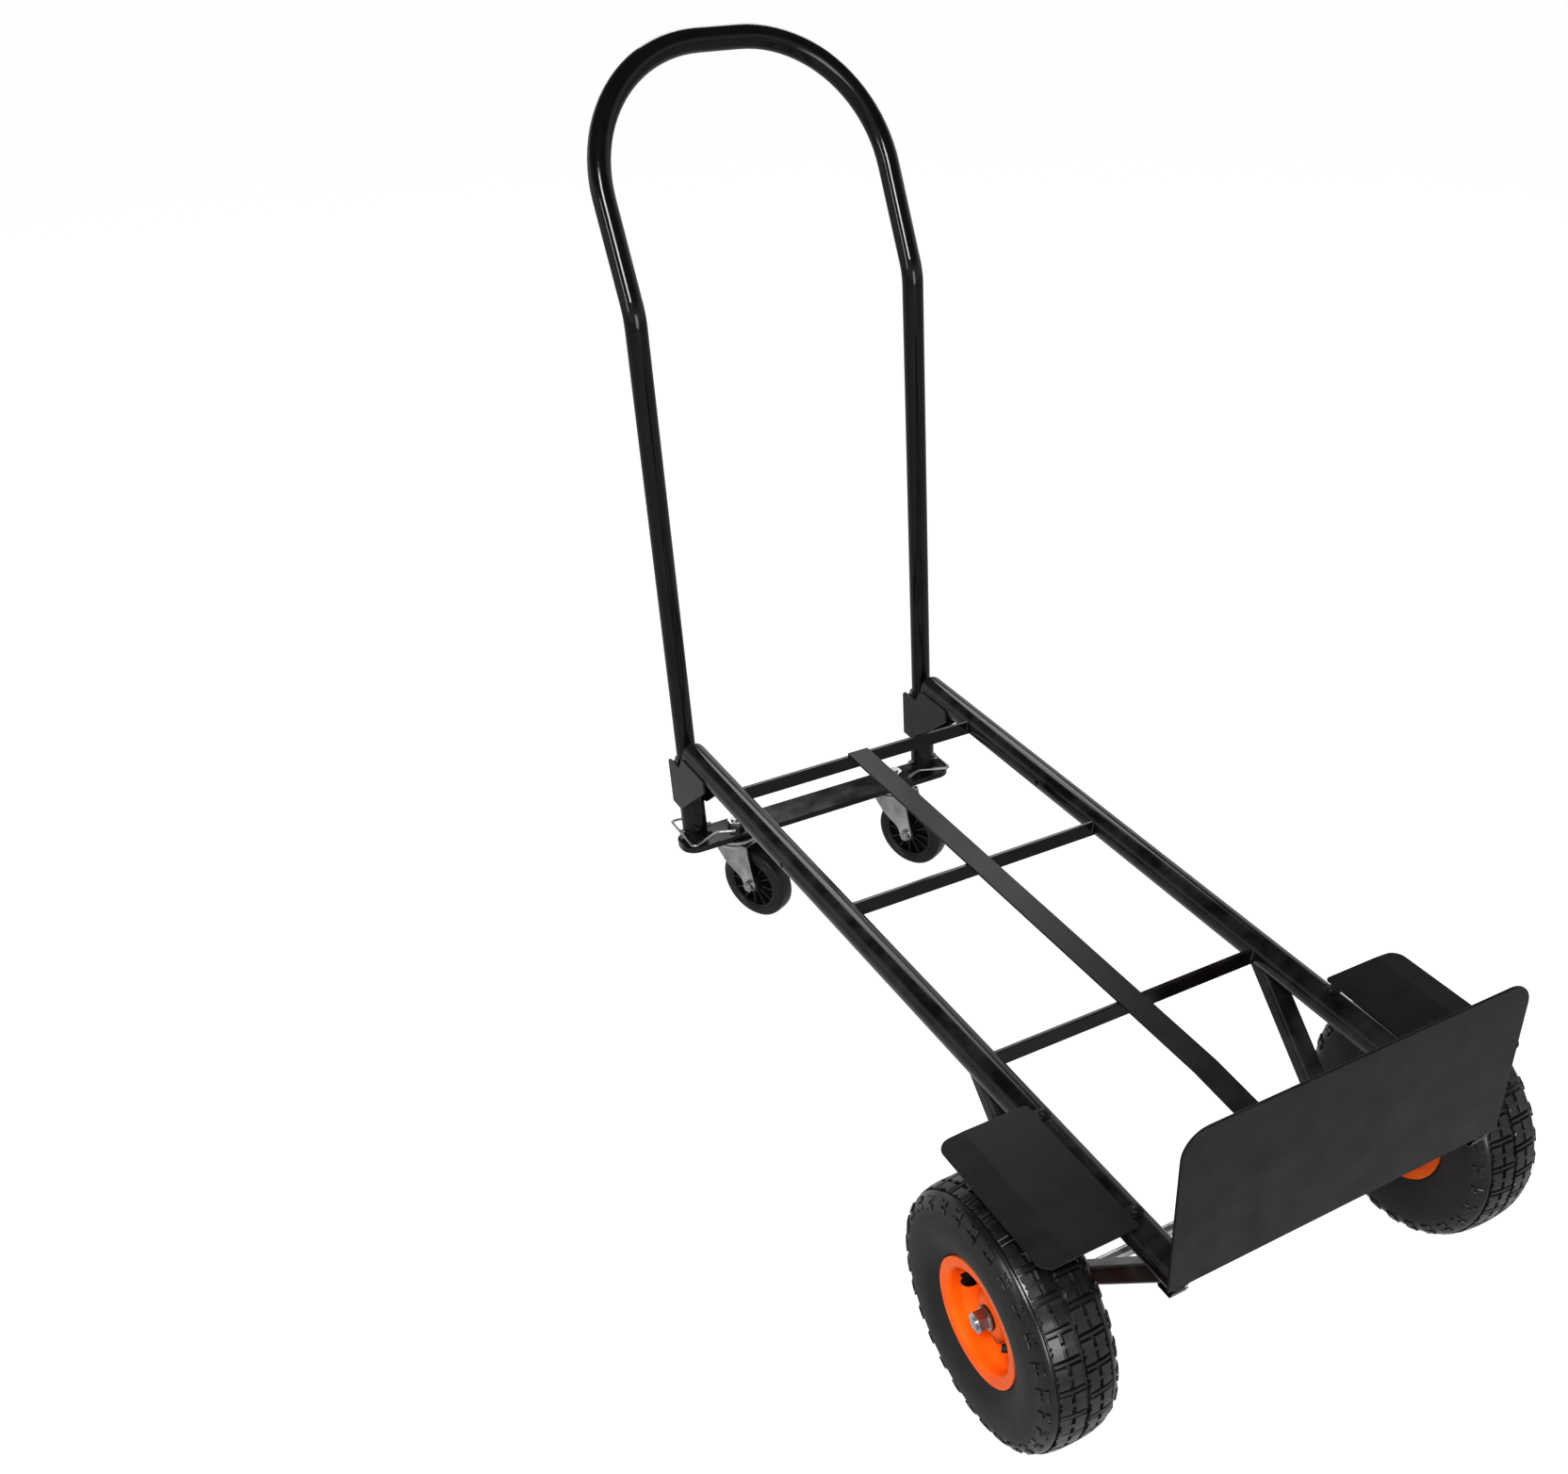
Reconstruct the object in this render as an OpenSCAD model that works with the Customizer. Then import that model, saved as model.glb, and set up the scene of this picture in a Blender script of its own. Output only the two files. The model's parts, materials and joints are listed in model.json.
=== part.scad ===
// Convertible hand truck, standing as a four-wheeled platform cart.
// Origin: centre of the footprint, on the floor. +X points to the toe plate,
// +Y to the left-hand rail, +Z up. Millimetres.

/* [Side rails] */
// Length of each side rail
rail_len = 1000; // [900:10:1100]
// Outer diameter of the rail tube
rail_od = 32; // [30:0.5:35]
// Wall of the rail tube
rail_wall = 1.5; // [1.2:0.1:2]
// Distance between the two rails, centre to centre
rail_spacing = 345; // [300:5:400]
// Height of the rails' axis above the floor
rail_z = 257; // [252:1:270]
// From the axis of the handle's legs to the rail mouths
mouth_gap = 30; // [28:1:40]

/* [Deck] */
// Height of each crossbar
crossbar_h = 18; // [14:1:22]
// Thickness of each crossbar
crossbar_t = 5; // [3:0.5:8]
// Top edge of the crossbars above the rails' axis
crossbar_rise = 7.5; // [4:0.5:8]
// First crossbar from the rail mouths
crossbar_head_at = 114; // [90:2:150]
// Second crossbar from the rail mouths
crossbar_middle_at = 397; // [320:5:480]
// Third crossbar from the rail mouths
crossbar_toe_at = 687; // [600:5:710]
// Width of the centre strap
strap_w = 28; // [20:1:40]
// Thickness of the centre strap
strap_t = 3; // [2:0.5:5]
// How far past the last crossbar the strap stays level
strap_level = 123; // [60:5:180]

/* [Toe plate] */
// Width of the toe plate
toe_w = 377; // [370:1:440]
// Length of the toe plate, up from the rails
toe_len = 175; // [120:5:240]
// Thickness of the toe plate
toe_t = 3; // [2:0.5:5]
// How far the plate starts below the rails' axis
toe_drop = 9; // [4:1:14]
// Radius of the free corners
toe_corner = 26; // [5:1:50]

/* [Handle] */
// Outer diameter of the handle tube
handle_od = 25; // [22:0.5:26]
// Wall of the handle tube
handle_wall = 1.5; // [1.2:0.1:2]
// Height where the handle leans back
kink_z = 787; // [700:5:850]
// Lean of the upper part of the handle
handle_lean = 25; // [10:1:35]
// Radius of the bend at the lean
kink_r = 60; // [40:5:90]
// From the lean to the grip, along the tube
handle_reach = 268; // [220:2:320]
// Radius of the two grip bends
grip_r = 148; // [100:2:148]

/* [Handle sockets] */
// Height of each upright socket
socket_h = 111; // [90:1:112]
// Thickness of the collar on each bush
collar_t = 3; // [2:0.5:4]
// Depth of each bush inside its tube
bush_len = 40; // [20:1:60]
// Gap around the handle's leg in its bush
leg_gap = 0.1; // [0.05:0.05:0.3]
// Sheet of the gussets between sockets and rails
gusset_t = 2.5; // [2:0.25:4]
// Where the gusset's back starts above the caster bar
gusset_foot = 47; // [30:1:60]
// How far each gusset runs along its rail
gusset_run = 65; // [40:1:70]

/* [Lock clips] */
// Diameter of the lock pin
pin_d = 6; // [5:0.5:7]
// Height of the pin above the caster bar
pin_rise = 8; // [6:0.5:12]
// Wire of the clip
wire_d = 3.5; // [2.5:0.25:4]
// From the rail mouths to the lock holes in the rails
lock_hole_at = 280; // [200:5:340]

/* [Caster bar] */
// Length of the caster bar
bar_len = 400; // [390:2:420]
// Width of the caster bar
bar_w = 46; // [42:1:60]
// Depth of the bar's turned-down edge
bar_depth = 8; // [6:0.5:12]
// Sheet of the caster bar
bar_t = 3; // [2:0.5:4]
// Middle of the bar, forward of the handle's legs
bar_ahead = 12; // [8:1:16]
// Distance between the two kingpins
kingpin_spacing = 240; // [220:5:260]

/* [Casters] */
// Diameter of the caster wheels
caster_d = 100; // [90:1:110]
// Width of the caster wheels
caster_w = 24; // [20:1:28]
// Trail of the caster wheels behind their kingpins
trail = 30; // [26:1:34]
// How far both casters are turned about their kingpins
swivel = 26; // [0:1:45]
// Room between a caster wheel and the crown of its fork
crown_gap = 7; // [6:0.5:12]
// Sheet of the fork's crown
crown_t = 3; // [2:0.5:4]
// Diameter of the fork's crown
crown_d = 56; // [54:1:60]
// Sheet of the fork's cheeks
cheek_t = 2.5; // [2:0.5:3.5]
// Room between a caster wheel and each cheek
cheek_gap = 3; // [2:0.5:5]
// Diameter of the kingpin
kingpin_d = 12; // [10:1:13]
// Diameter of the bearing balls
ball_d = 6; // [5:0.5:6.5]
// Balls in each swivel race
ball_count = 16; // [10:1:17]
// Diameter of the circle that the balls run on
race_d = 42; // [40:1:43]
// Diameter of the caster's axle bolt
caster_bolt_d = 8; // [6:1:10]

/* [Pneumatic wheels] */
// Diameter of the tyres
tyre_d = 260; // [240:2:270]
// Width of the tyres
tyre_w = 85; // [75:1:95]
// Number of blocks round each half of the tread
tread_n = 28; // [20:1:36]
// Depth of the tread
tread_t = 4; // [2:0.5:5]
// Width of the column of blocks on each half of the tread
column_w = 26; // [22:1:28]
// Width of the narrow grooves of the tread
tread_gap = 3.5; // [2:0.5:5]
// Distance between the middles of the two tyres
track = 508; // [490:2:540]
// From the rail mouths to the axle
axle_at = 862; // [820:2:880]
// Radius of the rim's flange
flange_r = 64; // [60:1:68]
// Radius of the bead seat
seat_r = 52; // [48:1:54]
// Width between the outer faces of the flanges
rim_w = 66; // [60:1:72]
// Sheet of the rims
rim_t = 2.2; // [1.5:0.1:3]
// Length of the hub
hub_len = 44; // [40:1:60]
// Outer diameter of the hub
hub_od = 25; // [22:0.5:30]
// Diameter of the axle
axle_d = 12; // [10:1:14]

/* [Struts] */
// Depth of the strut tube, seen from the side
strut_w = 18; // [16:1:24]
// Width of the strut tube, across the truck
strut_d = 25; // [20:1:28]
// Wall of the strut tube
strut_wall = 2; // [1.5:0.25:3]
// Slope of the struts
strut_slope = 45; // [40:1:48]
// How far the front strut runs on past the axle to where the rear strut meets it
strut_meet = 38; // [30:1:50]

/* [Fenders] */
// Length of each fender
fender_len = 176; // [140:2:220]
// Width of each fender
fender_w = 97; // [80:1:110]
// Sheet of the fenders
fender_t = 2; // [1.5:0.25:3]
// From the rails' axes to the inner edges of the fenders
fender_edge = 7; // [4:1:12]
// Width of the outer band past the crease
fender_band = 29; // [20:1:40]
// Slope of the outer band
fender_dip = 4; // [0:1:12]
// Radius of the fender corners
fender_corner = 14; // [6:1:20]

/* [Hidden] */
$fn = 64;

RIGHT = -1;
LEFT = 1;
FIT = 0.05;      // radial running gap of a shaft in its hole
SEAT = 0.02;     // radial gap of a part pressed or pushed home
CLEAR = 0.3;     // gap between parts that pass each other
SWELL = 0.05;    // how much a tube or wire bulges where it is bent
LAP = 0.5;       // how far a straight stretch runs into the bend after it

BLACK = [0.05, 0.05, 0.055];
SATIN = [0.14, 0.14, 0.145];
RUBBER = [0.09, 0.09, 0.09];
ORANGE = [1.0, 0.36, 0.04];
ZINC = [0.74, 0.75, 0.76];
PLASTIC = [0.07, 0.07, 0.08];

// Across the truck
rail_y = rail_spacing / 2;
kingpin_y = kingpin_spacing / 2;
wheel_y = track / 2;

// Along the truck: everything is laid out from the axis of the handle's legs
handle_back = handle_reach * sin(handle_lean) + handle_od / 2 + SWELL;
toe_face = mouth_gap + rail_len + toe_t;
leg_x = -(toe_face - handle_back) / 2;
mouth_x = leg_x + mouth_gap;
rail_end = mouth_x + rail_len;
axle_x = mouth_x + axle_at;
kingpin_x = leg_x + bar_ahead;

// Caster heights, from the floor up
crown_z = caster_d + crown_gap;
crown_top = crown_z + crown_t;
race_gap = ball_d / 2;
cup_z = crown_top + race_gap;
cup_t = 4;
bar_under = cup_z + cup_t;
bar_plate = bar_under + bar_depth - bar_t;
bar_top = bar_under + bar_depth;

// Handle, sockets and clips
pin_z = bar_top + pin_rise;
socket_top = bar_top + socket_h;
leg_bore_r = handle_od / 2 + leg_gap;
bush_r = rail_od / 2 - rail_wall - SEAT;
foot_z = bar_top + CLEAR;
kink_tangent = kink_r * tan(handle_lean / 2);
arm_len = handle_reach - grip_r;

// Wheels
wheel_r = tyre_d / 2;
crown_dip = 8;
lug_dip = 59;
tread_step = 0.6;
axle_z = wheel_r;
wall_in = rail_y + strut_d / 2;

// Fenders
fender_in = rail_y + fender_edge;
fender_z = rail_z + rail_od / 2 + SEAT;
fender_x = axle_x - fender_len / 2;
ear_r = 7;
ear_inset = 17;
bolt_d = 5;

// ---- shapes used by several parts ----

function unit(v) = v / norm(v);

// Points of the arc that rounds the corner p between a and b
function corner_arc(a, p, b, r, n) =
    let (u = unit(a - p), v = unit(b - p), half = acos(u * v) / 2, t = r / tan(half),
        c = p + unit(u + v) * r / sin(half), from = p + u * t - c, to = p + v * t - c,
        a0 = atan2(from[1], from[0]), turn = atan2(to[1], to[0]) - a0,
        sweep = turn > 180 ? turn - 360 : (turn < -180 ? turn + 360 : turn))
    [for (i = [0:n]) c + r * [cos(a0 + sweep * i / n), sin(a0 + sweep * i / n)]];

// An open path of [x, y, radius] points, with its inner corners rounded
function rounded_path(pts, n = 5) = [
    for (i = [0:len(pts) - 1])
        let (p = [pts[i][0], pts[i][1]])
        each (i == 0 || i == len(pts) - 1 || pts[i][2] == 0) ? [p] :
            corner_arc([pts[i - 1][0], pts[i - 1][1]], p, [pts[i + 1][0], pts[i + 1][1]], pts[i][2], n)
];

// A closed outline of [x, y, radius] points, with its corners rounded
function rounded_outline(pts, n = 5) = [
    for (i = [0:len(pts) - 1])
        let (m = len(pts), p = [pts[i][0], pts[i][1]], a = pts[(i + m - 1) % m], b = pts[(i + 1) % m])
        each pts[i][2] == 0 ? [p] : corner_arc([a[0], a[1]], p, [b[0], b[1]], pts[i][2], n)
];

// Sideways direction of a path at its point i
function side_of(path, i) =
    let (a = path[max(i - 1, 0)], b = path[min(i + 1, len(path) - 1)], d = unit(b - a)) [-d[1], d[0]];

// Outline of sheet metal of thickness t whose middle follows the path
function sheet(path, t) = concat(
    [for (i = [0:len(path) - 1]) path[i] + side_of(path, i) * t / 2],
    [for (i = [len(path) - 1:-1:0]) path[i] - side_of(path, i) * t / 2]);

function mirrored(pts) = [for (i = [len(pts) - 1:-1:0]) [pts[i][0], -pts[i][1]]];

// Rectangle with round corners, centred
module round_rect(l, w, r) {
    square([l - 2 * r, w], center = true);
    square([l, w - 2 * r], center = true);
    for (x = [-1, 1], y = [-1, 1]) translate([x * (l / 2 - r), y * (w / 2 - r)]) circle(r);
}

// Cylinder from point a to point b
module rod(a, b, r) {
    d = b - a;
    translate(a) rotate([0, acos(d[2] / norm(d)), atan2(d[1], d[0])]) cylinder(h = norm(d), r = r);
}

// Round wire of radius r in the plane z = 0, starting along +X: each bit is a straight length,
// then the radius and angle of the bend at its end, left turns positive
module wire_run(bits, r, i = 0) {
    if (i < len(bits)) {
        bit = bits[i];
        translate([-LAP, 0, 0]) rotate([0, 90, 0]) cylinder(h = bit[0] + 2 * LAP, r = r);
        if (bit[1] > 0) translate([bit[0], sign(bit[2]) * bit[1], 0]) {
            rotate([0, 0, bit[2] > 0 ? -90 : 90 + bit[2]]) rotate_extrude(angle = abs(bit[2]))
                translate([bit[1], 0]) circle(r + SWELL);
            rotate([0, 0, bit[2]]) translate([0, -sign(bit[2]) * bit[1], 0]) wire_run(bits, r, i + 1);
        }
    }
}

module along_x(x, y, z, l, r) { translate([x, y, z]) rotate([0, 90, 0]) cylinder(h = l, r = r); }

// Cylinder along Y from y to y + l
module along_y(x, y, z, l, r) { translate([x, y + l, z]) rotate([90, 0, 0]) cylinder(h = l, r = r); }

module hexagon(flats, h) { cylinder(h = h, d = flats / cos(30), $fn = 6); }

// Stands a side view drawn in x and z upright, t thick across Y, centred on y
module side_view(y, t) { translate([0, y + t / 2, 0]) rotate([90, 0, 0]) linear_extrude(t) children(); }

// ---- frame ----

module rail_solid(side) { along_x(mouth_x, side * rail_y, rail_z, rail_len, rail_od / 2); }

// The fenders' screws stand on the crests of the rails
module fender_screw_places(side) {
    for (x = [ear_inset, fender_len - ear_inset]) translate([fender_x + x, side * rail_y, fender_z]) children();
}

module rail(side) {
    color(BLACK) difference() {
        rail_solid(side);
        along_x(mouth_x - 1, side * rail_y, rail_z, rail_len + 2, rail_od / 2 - rail_wall);
        along_y(mouth_x + lock_hole_at, side * rail_y - rail_od, rail_z, 2 * rail_od, pin_d / 2 + CLEAR);
        fender_screw_places(side) translate([0, 0, -rail_od / 2]) cylinder(h = rail_od, r = bolt_d / 2 + FIT);
    }
}

module crossbar(at) {
    color(BLACK) difference() {
        translate([mouth_x + at, 0, rail_z + crossbar_rise - crossbar_h / 2])
            cube([crossbar_t, rail_spacing, crossbar_h], center = true);
        for (side = [RIGHT, LEFT]) rail_solid(side);
    }
}

module centre_strap() {
    top = rail_z + crossbar_rise + strap_t / 2;
    start = mouth_x + crossbar_head_at - crossbar_t / 2 - strap_w / 2;
    bend = mouth_x + crossbar_toe_at + strap_level;
    low = rail_z - toe_drop + strap_t;
    path = [[start, top], [bend, top], [rail_end, low]];
    color(SATIN) intersection() {
        side_view(0, strap_w) polygon(sheet(path, strap_t));
        translate([0, 0, low - toe_len]) linear_extrude(2 * toe_len) {
            translate([start + strap_w / 2, 0]) circle(d = strap_w);
            translate([start + strap_w / 2, -strap_w / 2]) square([rail_end - start - strap_w / 2, strap_w]);
        }
    }
}

module toe_plate() {
    low = rail_z - toe_drop;
    half = toe_w / 2;
    edge = [[-half, low, 0], [half, low, 0], [half, low + toe_len, toe_corner],
        [-half, low + toe_len, toe_corner]];
    color(SATIN) translate([rail_end, 0, 0]) rotate([90, 0, 90])
        linear_extrude(toe_t) polygon(rounded_outline(edge, 10));
}

// ---- struts and axle ----

// Places a child drawn along +X on the front strut's line, x = 0 at the axle
module front_line() { translate([axle_x, 0, axle_z]) rotate([0, -strut_slope, 0]) children(); }

// The same on the rear strut's line, x = 0 where it meets the front strut
module rear_line() {
    front_line() translate([-strut_meet, 0, 0]) rotate([0, 2 * strut_slope - 180, 0]) children();
}

module strut_tube(side, from, to) {
    translate([from, side * rail_y, 0]) rotate([0, 90, 0]) linear_extrude(to - from) difference() {
        round_rect(strut_w, strut_d, 4);
        round_rect(strut_w - 2 * strut_wall, strut_d - 2 * strut_wall, 2);
    }
}

module strut_front(side) {
    reach = (rail_z - axle_z) / sin(strut_slope);
    tail = strut_meet + strut_w / 2 + 5;
    color(BLACK) difference() {
        front_line() strut_tube(side, -tail, reach);
        rail_solid(side);
        along_y(axle_x, side * rail_y - strut_d, axle_z, 2 * strut_d, axle_d / 2 + FIT);
    }
}

module strut_rear(side) {
    reach = (rail_z - axle_z + strut_meet * sin(strut_slope)) / sin(strut_slope);
    color(BLACK) difference() {
        rear_line() strut_tube(side, 0, reach);
        front_line() translate([-strut_meet - strut_w, side * rail_y - strut_d, -strut_w * 1.5])
            cube([4 * strut_w, 2 * strut_d, strut_w * 2]);
        rail_solid(side);
    }
}

nut_t = 10;
nut_flats = 19;
washer_t = 2;
hub_out = wheel_y + hub_len / 2;
hub_in = wheel_y - hub_len / 2;
axle_tip = hub_out + CLEAR + washer_t + nut_t + 2;

module axle() { color(ZINC) along_y(axle_x, -axle_tip, axle_z, 2 * axle_tip, axle_d / 2); }

module axle_nuts() {
    color(ZINC) for (side = [RIGHT, LEFT]) translate([axle_x, side * (hub_out + CLEAR + washer_t), axle_z])
        rotate([-90 * side, 0, 0]) difference() {
            hexagon(nut_flats, nut_t);
            translate([0, 0, -1]) cylinder(h = nut_t + 2, r = axle_d / 2 + SEAT);
        }
}

module axle_washers() {
    color(ZINC) for (side = [RIGHT, LEFT]) translate([axle_x, side * (hub_out + CLEAR), axle_z])
        rotate([-90 * side, 0, 0]) difference() {
            cylinder(h = washer_t, r = hub_od / 2 - 1);
            translate([0, 0, -1]) cylinder(h = washer_t + 2, r = axle_d / 2 + SEAT);
        }
}

module axle_spacers() {
    spacer = hub_in - CLEAR - wall_in;
    color(BLACK) for (side = [RIGHT, LEFT]) translate([axle_x, side * wall_in, axle_z])
        rotate([-90 * side, 0, 0]) difference() {
            cylinder(h = spacer, r = axle_d / 2 + 3);
            translate([0, 0, -1]) cylinder(h = spacer + 2, r = axle_d / 2 + SEAT);
        }
}

// ---- fenders ----

module fender(side) {
    flat = fender_w - fender_band;
    dip = [cos(fender_dip), -sin(fender_dip)] * fender_band;
    path = [[0, fender_t / 2], [flat, fender_t / 2], [flat + dip[0], fender_t / 2 + dip[1]]];
    span = fender_w + fender_t;
    plan = rounded_outline([[0, 0, fender_corner / 3], [fender_len, 0, fender_corner / 3],
        [fender_len, flat + dip[0], fender_corner], [0, flat + dip[0], fender_corner]], 8);
    ear = rounded_outline([[-ear_r, -ear_r, ear_r * 0.9], [ear_r, -ear_r, ear_r * 0.9],
        [ear_r, fender_edge + 3, 0], [-ear_r, fender_edge + 3, 0]], 6);
    color(SATIN) difference() {
        union() {
            intersection() {
                translate([fender_x, side * fender_in, fender_z]) rotate([90, 0, 90]) linear_extrude(fender_len)
                    polygon([for (p = sheet(path, fender_t)) [side * p[0], p[1]]]);
                translate([fender_x, side * fender_in, fender_z - span])
                    linear_extrude(2 * span) polygon([for (p = plan) [p[0], side * p[1]]]);
            }
            fender_screw_places(side) linear_extrude(fender_t) polygon([for (p = ear) [p[0], side * p[1]]]);
        }
        fender_screw_places(side) translate([0, 0, -1]) cylinder(h = fender_t + 2, r = bolt_d / 2 + FIT);
    }
}

module fender_bolts() {
    shank = 12;
    head = [[0, 0], [0.9 * bolt_d, 0], [0.9 * bolt_d, 0.2 * bolt_d], [0.65 * bolt_d, 0.5 * bolt_d],
        [0, 0.6 * bolt_d]];
    color(ZINC) for (side = [RIGHT, LEFT]) fender_screw_places(side) translate([0, 0, fender_t]) {
        rotate_extrude($fn = 48) polygon(head);
        translate([0, 0, -shank]) cylinder(h = shank + 0.1, r = bolt_d / 2);
    }
}

// ---- handle sockets ----

module socket(side) {
    color(BLACK) difference() {
        translate([leg_x, side * rail_y, bar_top]) cylinder(h = socket_h, r = rail_od / 2);
        translate([leg_x, side * rail_y, bar_top - 1]) cylinder(h = socket_h + 2, r = rail_od / 2 - rail_wall);
        along_y(leg_x, side * rail_y - rail_od, pin_z, 2 * rail_od, pin_d / 2 + FIT);
    }
}

// Bush with its collar on z = 0 and its sleeve below
module bush() {
    difference() {
        union() {
            cylinder(h = collar_t, r = rail_od / 2 - CLEAR);
            translate([0, 0, -bush_len]) cylinder(h = bush_len, r = bush_r);
        }
        translate([0, 0, -bush_len - 1]) cylinder(h = bush_len + collar_t + 2, r = leg_bore_r);
    }
}

module socket_bushes() {
    color(PLASTIC) for (side = [RIGHT, LEFT]) translate([leg_x, side * rail_y, socket_top]) bush();
}

module rail_bushes() {
    color(PLASTIC) for (side = [RIGHT, LEFT]) translate([mouth_x, side * rail_y, rail_z])
        rotate([0, -90, 0]) bush();
}

module gusset(side) {
    back = -rail_od / 2 - gusset_t;
    foot = bar_top + gusset_foot;
    run = mouth_gap + gusset_run;
    cheek = [[back, foot, 0], [back, socket_top, 6], [rail_od / 2, socket_top, 6], [mouth_gap, rail_z, 6],
        [run, rail_z, 3], [run, rail_z - rail_od / 2, 3], [rail_od / 4, foot, 10]];
    color(BLACK) translate([leg_x, 0, 0]) {
        for (s = [-1, 1]) side_view(side * rail_y + s * (rail_od + gusset_t) / 2, gusset_t)
            polygon(rounded_outline(cheek));
        translate([back, side * rail_y - rail_od / 2 - gusset_t, foot])
            cube([gusset_t, rail_od + 2 * gusset_t, socket_top - foot - 6]);
    }
}

// ---- caster bar and swivels ----

module caster_bar() {
    end_r = bar_w / 2 - 3;
    color(BLACK) difference() {
        translate([kingpin_x, 0, bar_under]) linear_extrude(bar_depth) round_rect(bar_w, bar_len, end_r);
        translate([kingpin_x, 0, bar_under - 1]) linear_extrude(bar_depth - bar_t + 1)
            round_rect(bar_w - 2 * bar_t, bar_len - 2 * bar_t, end_r - bar_t);
        for (side = [RIGHT, LEFT]) translate([kingpin_x, side * kingpin_y, bar_under])
            cylinder(h = bar_depth + 1, r = kingpin_d / 2 + FIT);
    }
}

head_t = 6;
module kingpins() {
    color(ZINC) for (side = [RIGHT, LEFT]) translate([kingpin_x, side * kingpin_y, crown_z]) {
        translate([0, 0, -head_t]) hexagon(nut_flats, head_t - CLEAR);
        translate([0, 0, -head_t]) cylinder(h = bar_top + nut_t + 3 - crown_z + head_t, r = kingpin_d / 2);
    }
}

module kingpin_nuts() {
    color(ZINC) for (side = [RIGHT, LEFT]) translate([kingpin_x, side * kingpin_y, bar_top]) difference() {
        hexagon(nut_flats, nut_t);
        translate([0, 0, -1]) cylinder(h = nut_t + 2, r = kingpin_d / 2 + SEAT);
    }
}

// Groove that the balls run in, with its middle on z = 0
module ball_groove() { rotate_extrude() translate([race_d / 2, 0]) circle(r = ball_d / 2 + 0.1, $fn = 32); }

module swivel_cups() {
    boss_r = (bar_w - 2 * bar_t) / 2 - 1;
    color(ZINC) for (side = [RIGHT, LEFT]) translate([kingpin_x, side * kingpin_y, cup_z]) difference() {
        union() {
            cylinder(h = cup_t, r = crown_d / 2 + 1);
            cylinder(h = bar_plate - cup_z, r = boss_r);
        }
        translate([0, 0, -1]) cylinder(h = bar_plate - cup_z + 2, r = kingpin_d / 2 + SEAT);
        translate([0, 0, -race_gap / 2]) ball_groove();
    }
}

// ---- casters: drawn with the kingpin on the z axis and the wheel trailing to +X ----

module at_kingpin(side) { translate([kingpin_x, side * kingpin_y, 0]) rotate([0, 0, swivel]) children(); }

caster_z = caster_d / 2;
cheek_y = caster_w / 2 + cheek_gap;

// The crown is a disc run out into a flat over the wheel, and the cheeks hang from its sides
module caster_fork(side) {
    top = crown_z + crown_t / 2;
    front = trail - 2;
    back = -sqrt(pow(crown_d / 2, 2) - pow(cheek_y + cheek_t, 2)) + 1.5;
    cheek = [[back, top, 0], [front, top, 0], [front + 3, crown_z - 12, 6], [trail + 9, caster_z, 9],
        [trail + 3, caster_z - 10, 8], [trail - 9, caster_z - 6, 8], [trail - 14, caster_z + 8, 6],
        [back + 12, caster_z + 26, 10], [back, caster_z + 42, 5]];
    color(ZINC) at_kingpin(side) difference() {
        union() {
            translate([0, 0, crown_z]) cylinder(h = crown_t, r = crown_d / 2);
            translate([0, -cheek_y - cheek_t, crown_z]) cube([front, 2 * (cheek_y + cheek_t), crown_t]);
            for (s = [-1, 1]) side_view(s * (cheek_y + cheek_t / 2), cheek_t) polygon(rounded_outline(cheek));
        }
        translate([0, 0, crown_z - 1]) cylinder(h = crown_t + 2, r = kingpin_d / 2 + FIT);
        translate([0, 0, crown_top + race_gap / 2]) ball_groove();
        along_y(trail, -2 * cheek_y, caster_z, 4 * cheek_y, caster_bolt_d / 2 + FIT);
    }
}

module ball_race(side) {
    cage_t = 1;
    color(ZINC) at_kingpin(side) translate([0, 0, crown_top + race_gap / 2]) {
        for (i = [1:ball_count]) rotate([0, 0, i * 360 / ball_count]) translate([race_d / 2, 0, 0])
            sphere(d = ball_d, $fn = 24);
        difference() {
            translate([0, 0, -cage_t / 2]) cylinder(h = cage_t, r = race_d / 2 + 1.5);
            translate([0, 0, -cage_t]) cylinder(h = 2 * cage_t, r = race_d / 2 - 1.5);
        }
    }
}

module at_caster_wheel(side) { at_kingpin(side) translate([trail, 0, caster_z]) rotate([90, 0, 0]) children(); }

rim_share = caster_d * 0.36;   // radius where the caster's tread is moulded on

module caster_tyre(side) {
    half = caster_w / 2;
    edge = [[rim_share, -half, 0], [caster_d / 2 - 3, -half, 4], [caster_d / 2, -half + 6, 6],
        [caster_d / 2, half - 6, 6], [caster_d / 2 - 3, half, 4], [rim_share, half, 0]];
    color(RUBBER) at_caster_wheel(side) rotate_extrude($fn = 96) polygon(rounded_outline(edge, 4));
}

core_hub_r = 11;
core_hub_w = caster_w + 2 * cheek_gap - 2 * CLEAR;
sleeve_r = caster_bolt_d / 2 + 2;

module caster_core(side) {
    web = 5;
    spokes = 12;
    color(PLASTIC) at_caster_wheel(side) difference() {
        union() {
            cylinder(h = core_hub_w, r = core_hub_r, center = true);
            difference() {
                cylinder(h = caster_w - 2, r = rim_share, center = true);
                cylinder(h = caster_w, r = rim_share - 3, center = true);
            }
            cylinder(h = web, r = rim_share - 1, center = true);
            for (i = [1:spokes]) rotate([0, 0, i * 360 / spokes]) translate([core_hub_r - 1, -1, -caster_w / 2 + 2])
                cube([rim_share - core_hub_r - 1, 2, caster_w - 4]);
        }
        cylinder(h = 2 * core_hub_w, r = sleeve_r + FIT, center = true);
    }
}

module caster_sleeve(side) {
    color(ZINC) at_caster_wheel(side) difference() {
        cylinder(h = 2 * cheek_y, r = sleeve_r, center = true);
        cylinder(h = 4 * cheek_y, r = caster_bolt_d / 2 + SEAT, center = true);
    }
}

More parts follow.
